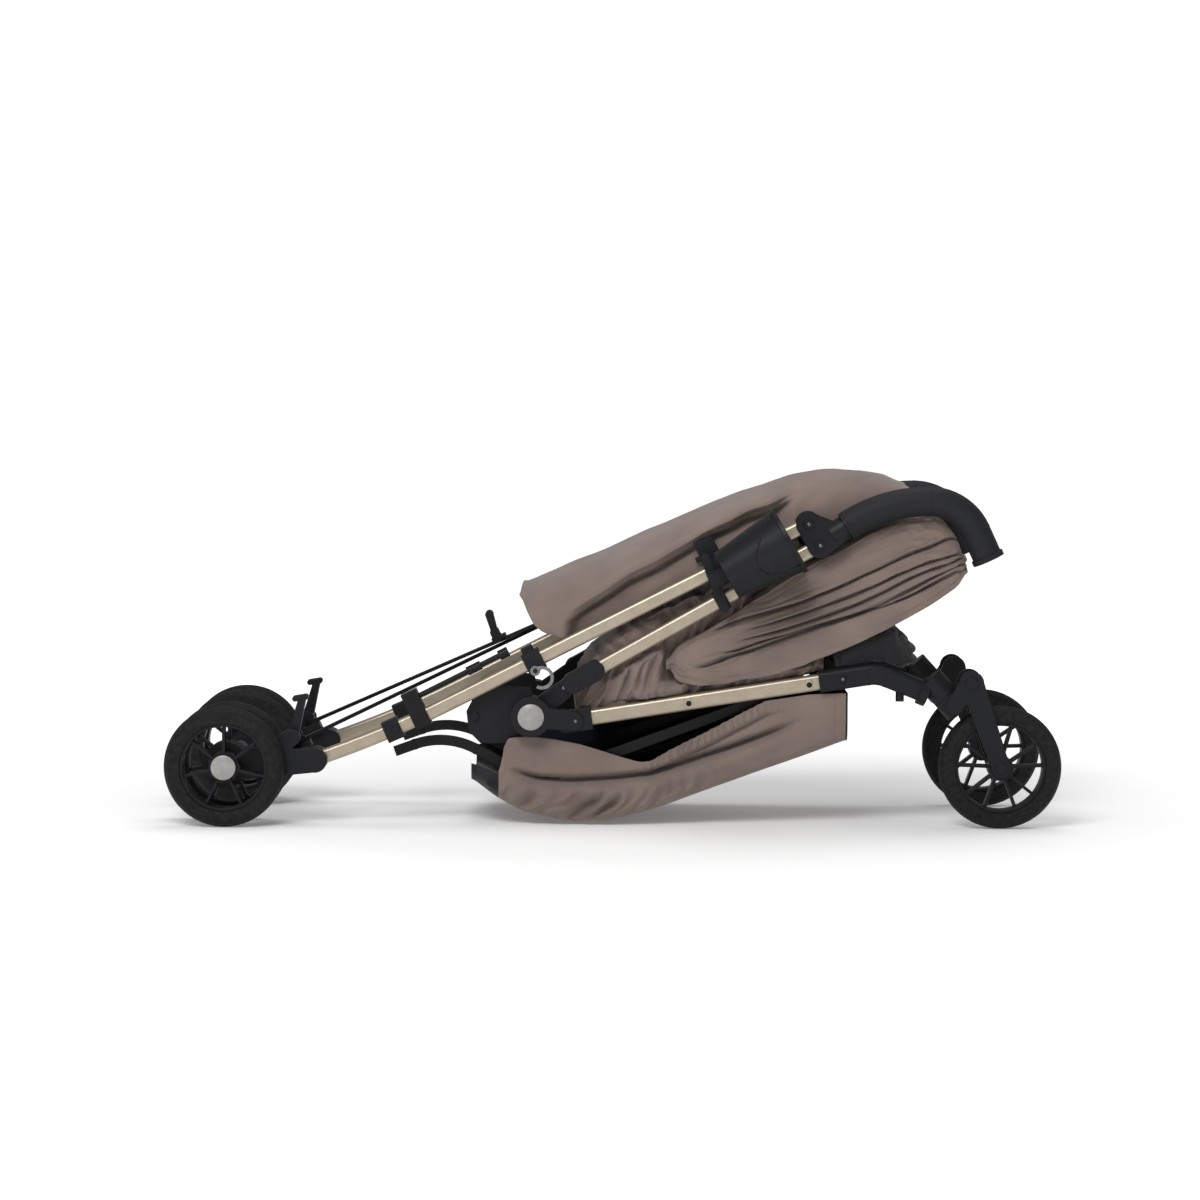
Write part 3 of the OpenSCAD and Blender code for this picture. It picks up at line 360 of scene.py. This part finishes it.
def flap_side(x, z, far):
    """How far the cloth lies in from the arch: a long tuck, and a lower layer behind it."""
    if x < -62:
        return 0.0
    line = smooth(TUCK, x, 10) + 2.0 * wrinkle(x, far, 3, 30)
    deep = ease((x + 62) / 40) * ease((215 - x) / 40)
    gap = line - z
    tuck = ease((gap + 1.5) / 3) * (1 - ease((gap - 10) / 6)) * 14
    lip = 3.0 * math.exp(-((gap + 7) / 4.5) ** 2)
    under = 23 * ease((gap - 4) / 6) * ease((215 - x) / 30)
    return deep * (tuck - lip) + under * ease((x + 62) / 14)


def flap_mesh():
    stations = np.linspace(-112, 350, 150)
    angles = np.linspace(-90, 90, 150)
    verts = []
    for x in stations:
        top, hem, half = smooth(FLAP_TOP, x), smooth(FLAP_HEM, x, 4), smooth(FLAP_HALF, x, 8)
        for a in angles:
            s, c = math.sin(math.radians(a)), max(0.0, math.cos(math.radians(a)))
            way = math.copysign(1, s)
            y = way * abs(s) ** 0.55 * half
            z = hem + c ** 0.75 * (top - hem)
            share = ease((abs(a) - 20) / 20)
            y -= way * flap_side(x, z, way * 9) * share
            drape = 2.6 * wrinkle(x * 0.8 - z * 0.5, way * 30, z, 44) + 1.3 * wrinkle(x - z, y, 7, 18)
            y += way * drape * share
            verts.append((x, y, z + (0.9 * drape + 2 * wrinkle(x, y, 0, 60)) * (1 - share)))
    return verts, grid_faces(len(stations), len(angles))


verts, faces = flap_mesh()
flap = make("hood_flap_cloth", verts, faces, mats["taupe_cloth"], replaced=("hood_flap",))
thick = flap.modifiers.new("cloth", "SOLIDIFY")
thick.thickness = FLAP_THICK
thick.offset = -1

# Seat cloth crumpled between the tubes, with a roll of it along the front tube under the hood

SEAT_LOW = [(-50, 130), (-27, 130), (7, 136), (63, 145), (129, 156), (172, 163), (212, 172), (250, 186)]
SEAT_HIGH = [(-50, 160), (-38, 186), (-24, 206), (0, 228), (40, 248), (66, 258), (120, 281), (150, 290),
             (164, 270), (176, 222), (200, 208), (250, 204)]


def seat_out(x, z, v, far):
    """How far the crumpled cloth stands out: tall folds, slack below the back tube, a roll in front."""
    back = 171.4 + (x + 47) * 0.5682
    tube_top = 135.4 + (x + 48.8) * 0.162
    lean = x + (z - back) * (0.42 if z > back else -0.5) + 9 * wrinkle(x, far, z, 40)
    fold = 1 - 2.2 * abs(wrinkle(lean, far, z * 0.12, 24))
    fine = 1 - 2.0 * abs(wrinkle(lean * 1.1 + 90, far, z * 0.3, 15))
    slack = ease((back - 14 - z) / 8) * ease((x + 22) / 22) * (1 - ease((x - 50) / 14))
    roll = ease((x - 6) / 30) * math.exp(-((z - tube_top - 9) / 7) ** 2)
    out = 88.0 + 13 * fold + 4 * fine + 12 * slack + (12 + 4 * wrinkle(x, far, 5, 30)) * roll
    out -= 4 * abs(2 * v - 1) ** 8
    if x > 52:
        out -= 14 * ease((x - 52) / 10) * ease((z - smooth(HOOD_LOW, max(x, 74), 5) + 3) / 6) * (1 - roll)
    behind = 1 - ease((z - tube_top - 0.5) / 3)
    return out + (min(out, 101) - out) * behind


def seat_mesh():
    stations = np.linspace(-50, 250, 170)
    shares = np.linspace(0, 1, 100)
    verts = []
    for x in stations:
        low, high = smooth(SEAT_LOW, x, 8), smooth(SEAT_HIGH, x, 8)
        rows = [(v, low + (high - low) * v) for v in shares]
        verts += [(x, -seat_out(x, z, v, 0), z) for v, z in rows]
        verts += [(x, seat_out(x, z, v, 60), z) for v, z in rows[::-1]]
    return verts, closed(len(stations), 2 * len(shares))


verts, faces = seat_mesh()
seat = make("seat_cloth_folds", verts, faces, mats["taupe_cloth"], replaced=("seat_cloth",))
settle(seat, frames=10, pressure=1.5, grow=0.04, cap=0.004)

# Basket: an open bag with a flat sleeve, a gathered hem and a slack lower part

BASKET_HALF = 114
BASKET_FLOOR_HALF = 98
BASKET_ROUND = 13
BASKET_THICK = 0.002
# The bag's ends beyond these x are bound with a dark edge
BASKET_DARK = (-0.137, 0.2725)
BASKET_END = 0.2760
BASKET_TOP = [(-172, 72), (-150, 66), (-137, 60), (-128, 103), (-103, 106), (-76, 103), (-43, 97),
              (-16, 89), (10, 81), (30, 76), (44, 78), (70, 93), (113, 115), (146, 133), (179, 150),
              (229, 158), (277, 160)]
BASKET_FAR = [(-172, 72), (-120, 96), (-60, 112), (-30, 117), (230, 158), (277, 160)]
BASKET_LOW = [(-172, 54), (-160, 46), (-142, 34), (-122, 22), (-102, 13), (-52, 4), (-2, 6), (51, 20),
              (130, 50), (230, 86), (277, 104)]
SLEEVE = [(-172, 60), (-122, 65), (-92, 55), (-53, 53), (-3, 56), (30, 60), (64, 69), (97, 80), (130, 91),
          (179, 109), (225, 128), (277, 140)]


def basket_out(x, z, top, low, far):
    """How far the bag's side stands out, with its sleeve, its gathers and its slack folds."""
    crease = smooth(SLEEVE, x, 8)
    share = ease((230 - x) / 70) * ease((x + 132) / 40)
    tuck = 22 * math.exp(-((z - crease) / 4.0) ** 2) * share
    puff = 6.0 * math.exp(-((z - crease + 15) / 10) ** 2) * share - 3 * ease((z - crease) / 8) * share
    band = ease((x - 24) / 20) * ease((215 - x) / 60)
    hem = ease((17 - (top - z)) / 5) * band
    gather = hem * (6 + 2.6 * math.sin(x * 0.8 + 2.0 * wrinkle(x, far, z, 14)))
    lip = -4.0 * math.exp(-((top - z - 18) / 2.5) ** 2) * band
    bent = x + 46 + 0.022 * (z - 52) ** 2
    slack = (1 - 2.2 * abs(wrinkle(bent * 0.8, far, z * 0.5, 22))) * 13 - 7
    slack *= ease((crease - 4 - z) / 14) * ease((150 - x) / 110) * ease((z - low) / 10)
    soft_wave = 2.2 * wrinkle(x * 0.4 + z * 0.5, far + 3, z, 24)
    seam = -1.2 * math.exp(-((x - 262) / 1.2) ** 2) - 1.2 * math.exp(-((x + 128) / 1.2) ** 2)
    return BASKET_HALF - tuck + puff + gather + lip + slack + soft_wave + seam


def basket_under(z, low):
    """How far the side lies in where it rounds into the floor."""
    near = min(1.0, max(0.0, 1 - (z - low) / BASKET_ROUND))
    return BASKET_ROUND * (1 - math.sqrt(1 - near ** 2))


def basket_mesh():
    stations = np.linspace(-170, 276, 190)
    down = np.linspace(0, 1, 56)
    across = np.linspace(-1, 1, 24)
    verts = []
    cols = 2 * len(down) + len(across) - 2
    for x in stations:
        top, low = smooth(BASKET_TOP, x, 3), smooth(BASKET_LOW, x, 8)
        far_top = max(top, smooth(BASKET_FAR, x, 8))
        bag = 0.84 + 0.16 * ease((x + 172) / 36)
        for s in down:
            z = top + (low - top) * s
            verts.append((x, bag * (basket_under(z, low) - basket_out(x, z, top, low, 0)), z))
        for a in across[1:-1]:
            verts.append((x, bag * a * BASKET_FLOOR_HALF, low + 1.2 * wrinkle(x, a * 100, 3, 40)))
        for s in down[::-1]:
            z = far_top + (low - far_top) * s
            verts.append((x, bag * (basket_out(x, z, far_top, low, 40) - basket_under(z, low)), z))
    faces = grid_faces(len(stations), cols)
    last = (len(stations) - 1) * cols
    faces.append(tuple(last + j for j in range(cols)))
    return verts, faces


verts, faces = basket_mesh()
basket = make("basket_cloth", verts, faces, mats["taupe_cloth"], replaced=("basket",))
basket.data.materials.append(navy_mat)
basket.data.materials.append(mats["dark_cloth"])
for p in basket.data.polygons:
    x = p.center.x
    if x < BASKET_DARK[0] or x > BASKET_DARK[1] and abs(x - BASKET_END) > 0.0004:
        p.material_index = 2
wall = basket.modifiers.new("cloth", "SOLIDIFY")
wall.thickness = BASKET_THICK
wall.offset = -1
wall.material_offset = 1

# Foot mat: a folded pad with ribs along its upper edge

MAT_CENTRE = (322, 207)
MAT_RIB_R = 5.5
MAT_SHAPE = [(262, 190), (304, 197.4), (319, 196.8), (341, 189), (351, 196), (352, 212), (341, 224),
             (328, 234), (262, 203.5)]
MAT_RIBS = [(330, 231), (342, 223.5), (351, 212.5), (353, 200)]


def mat_reach(angle):
    """Distance from the centre to the pad's outline in one direction."""
    centre = MAT_CENTRE
    dx, dz = math.cos(angle), math.sin(angle)
    best = 0.0
    for (ax, az), (bx, bz) in zip(MAT_SHAPE, MAT_SHAPE[1:] + MAT_SHAPE[:1]):
        ex, ez = bx - ax, bz - az
        cross = dx * ez - dz * ex
        if abs(cross) > 1e-9:
            far = ((ax - centre[0]) * ez - (az - centre[1]) * ex) / cross
            part = ((ax - centre[0]) * dz - (az - centre[1]) * dx) / cross
            if far > 0 and 0 <= part <= 1:
                best = max(best, far)
    for rx, rz in MAT_RIBS:
        ahead = (rx - centre[0]) * dx + (rz - centre[1]) * dz
        aside = (rx - centre[0]) * dz - (rz - centre[1]) * dx
        if ahead > 0 and abs(aside) < MAT_RIB_R:
            best = max(best, ahead + math.sqrt(MAT_RIB_R ** 2 - aside ** 2))
    return best


def mat_mesh():
    turns = [2 * math.pi * k / 160 for k in range(160)]
    reach = [mat_reach(t) for t in turns]
    runs = [(-112, -106, 6), (-102, 102, 35), (106, 112, 6)]
    ys = np.concatenate([np.linspace(*run) for run in runs])
    verts = []
    for y in ys:
        keep = 1 - 0.14 * ease((abs(y) - 104) / 8)
        for t, r in zip(turns, reach):
            sag = 0.8 * wrinkle(30 * math.cos(t), y * 0.6, 30 * math.sin(t), 14)
            far = r * keep + sag
            verts.append((MAT_CENTRE[0] + far * math.cos(t), y, MAT_CENTRE[1] + far * math.sin(t)))
    return verts, closed(len(ys), len(turns))


verts, faces = mat_mesh()
foot_mat = make("foot_mat_ribs", verts, faces, mats["dark_cloth"], replaced=("foot_mat",))

# Small fittings: screw heads on both sides, and the raised seam of the cup

# Foot of the cup's axis, its lean in degrees, its height, and its radius at the foot and gained by the rim
CUP_FOOT = Vector((128.9, -167.6, 301.0))
CUP_LEAN = 30
CUP_HIGH = 86
CUP_R = 30
CUP_FLARE = 11


def disc(name, body, x, y, z, r, high, mat):
    """A low domed disc that faces outwards from the middle."""
    way = math.copysign(1, y)
    rings = [(r, 0.0), (r, 0.55 * high), (0.8 * r, 0.9 * high), (0.3 * r, high)]
    turns = [math.radians(15 * k) for k in range(24)]
    verts = [(x + q * math.cos(t), y + way * h, z + q * math.sin(t)) for q, h in rings for t in turns]
    obj = make(name, verts, closed(len(rings), len(turns)), mat, body)


def ridge(name, body, points, r, mat):
    """A round bead along a line of points."""
    turns = [math.radians(45 * k) for k in range(8)]
    verts = []
    for i, p in enumerate(points):
        ahead = (points[min(i + 1, len(points) - 1)] - points[max(i - 1, 0)]).normalized()
        side = ahead.orthogonal().normalized()
        up = ahead.cross(side)
        verts += [tuple(p + r * (side * math.cos(t) + up * math.sin(t))) for t in turns]
    obj = make(name, verts, closed(len(points), len(turns)), mat, body)


# Body of each screw, its place, its radius and height, and its material
SCREWS = [
    ("front", 87.6, 121.2, 147.0, 3.2, 0.5, "black_plastic"),
    ("front", 229.8, 121.2, 170.0, 3.2, 0.5, "black_plastic"),
    ("front", 269.1, 125.0, 177.3, 2.0, 0.5, "steel"),
    ("front", -46.2, 127.9, 125.6, 2.0, 0.8, "steel"),
    ("back", -60.7, 111.8, 163.4, 2.0, 0.8, "steel"),
    ("handle", 227.0, 124.9, 360.0, 2.2, 0.6, "steel"),
    ("handle", 240.9, 124.9, 335.0, 2.2, 0.6, "steel"),
]
for k, (body, x, y, z, r, high, slot) in enumerate(SCREWS):
    for side, way in (("right", -1), ("left", 1)):
        disc(f"{side}_screw_{k}", f"{side}_{body}", x, way * y, z, r, high, mats[slot])


def cup_point(share, angle):
    """A point on the outside of the cup, by its height share and its angle from the near side."""
    axis = Vector((math.cos(math.radians(CUP_LEAN)), 0, math.sin(math.radians(CUP_LEAN))))
    up = Vector((-axis.z, 0, axis.x))
    r = CUP_R + CUP_FLARE * share
    out = up * math.sin(math.radians(angle)) + Vector((0, -1, 0)) * math.cos(math.radians(angle))
    return CUP_FOOT + CUP_HIGH * share * axis + r * out


# The seam's lines, as height shares and angles
SEAM = [(0.93, 66), (0.84, 54), (0.72, 40), (0.60, 26), (0.50, 12), (0.45, -4), (0.45, -20), (0.50, -34)]
LIP = [(0.50, -34), (0.58, -42), (0.68, -47), (0.80, -49), (0.93, -47)]
for name, line in (("cup_seam", SEAM), ("cup_seam_lip", LIP)):
    ridge(name, "right_back", [cup_point(*p) for p in line], 1.0, mats["black_plastic"])

# Soft parts: each one's placement is baked into its mesh

# Each soft part, listed with the name of its pair of bodies
for obj, pair in ((hood, "back"), (flap, "back"), (seat, "back"), (basket, "basket"), (foot_mat, "front")):
    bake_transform(obj)


# Camera, floor and light

# The camera's tilt down and its roll, in degrees
CAMERA_DOWN = 3.7
CAMERA_ROLL = 0.4
# The floor glows from near to far, so that it stays white away from the shadow
GLOW = {"From Min": 0.4, "From Max": 1.7, "To Min": 0.12, "To Max": 0.75}
FLOOR_REACH = 30
# Light of the surroundings, and how bright they are where the camera sees them
SKY_LIGHT = 0.32
SKY_SEEN = 1.05

camera = bpy.data.cameras.new("camera")
camera.lens = 111.6
camera.sensor_width = 36
view = bpy.data.objects.new("camera", camera)
scene.collection.objects.link(view)
view.location = (-0.0182, -4.5, 0.552)
tilt = Matrix.Rotation(math.radians(90 - CAMERA_DOWN), 3, "X")
turn = tilt @ Matrix.Rotation(math.radians(CAMERA_ROLL), 3, "Z")
view.rotation_euler = turn.to_euler()
scene.camera = view

floor_mesh = bpy.data.meshes.new("floor")
corners = [(x * FLOOR_REACH, y * FLOOR_REACH, 0) for x, y in ((-1, -1), (1, -1), (1, 1), (-1, 1))]
floor_mesh.from_pydata(corners, [], [(0, 1, 2, 3)])
floor = bpy.data.objects.new("floor", floor_mesh)
scene.collection.objects.link(floor)
floor_mat, floor_tree, floor_body, floor_place = shader("floor", (0.93, 0.93, 0.93), 0.6)
floor_body.inputs["Specular IOR Level"].default_value = 0.15
floor_body.inputs["Emission Color"].default_value = (1, 1, 1, 1)
far_off = floor_tree.nodes.new("ShaderNodeVectorMath")
far_off.operation = "LENGTH"
floor_tree.links.new(floor_place, far_off.inputs[0])
glow = floor_tree.nodes.new("ShaderNodeMapRange")
for key, value in GLOW.items():
    glow.inputs[key].default_value = value
floor_tree.links.new(far_off.outputs["Value"], glow.inputs["Value"])
floor_tree.links.new(glow.outputs["Result"], floor_body.inputs["Emission Strength"])
floor_mesh.materials.append(floor_mat)

world = bpy.data.worlds.new("studio")
scene.world = world
world.use_nodes = True
world_tree = world.node_tree
sky = world_tree.nodes["Background"]
sky.inputs["Color"].default_value = (1, 1, 1, 1)
sky.inputs["Strength"].default_value = SKY_LIGHT
seen = world_tree.nodes.new("ShaderNodeBackground")
seen.inputs["Color"].default_value = (1, 1, 1, 1)
seen.inputs["Strength"].default_value = SKY_SEEN
rays = world_tree.nodes.new("ShaderNodeLightPath")
pick = world_tree.nodes.new("ShaderNodeMixShader")
world_tree.links.new(rays.outputs["Is Camera Ray"], pick.inputs["Fac"])
world_tree.links.new(sky.outputs["Background"], pick.inputs[1])
world_tree.links.new(seen.outputs["Background"], pick.inputs[2])
world_tree.links.new(pick.outputs["Shader"], world_tree.nodes["World Output"].inputs["Surface"])


def area_light(name, place, power, size):
    """A square lamp that points at the stroller."""
    lamp = bpy.data.lights.new(name, "AREA")
    lamp.energy = power
    lamp.size = size
    obj = bpy.data.objects.new(name, lamp)
    scene.collection.objects.link(obj)
    obj.location = place
    obj.rotation_euler = (LIGHT_AIM - Vector(place)).to_track_quat("-Z", "Y").to_euler()


LIGHT_AIM = Vector((0, 0, 0.2))
area_light("key", (-0.9, -2.8, 2.7), power=88, size=1.6)
area_light("top", (0.3, 0.4, 2.8), power=20, size=1.4)

scene.view_settings.view_transform = "Standard"
scene.view_settings.look = "None"
scene.view_settings.exposure = 0
scene.view_settings.gamma = 1
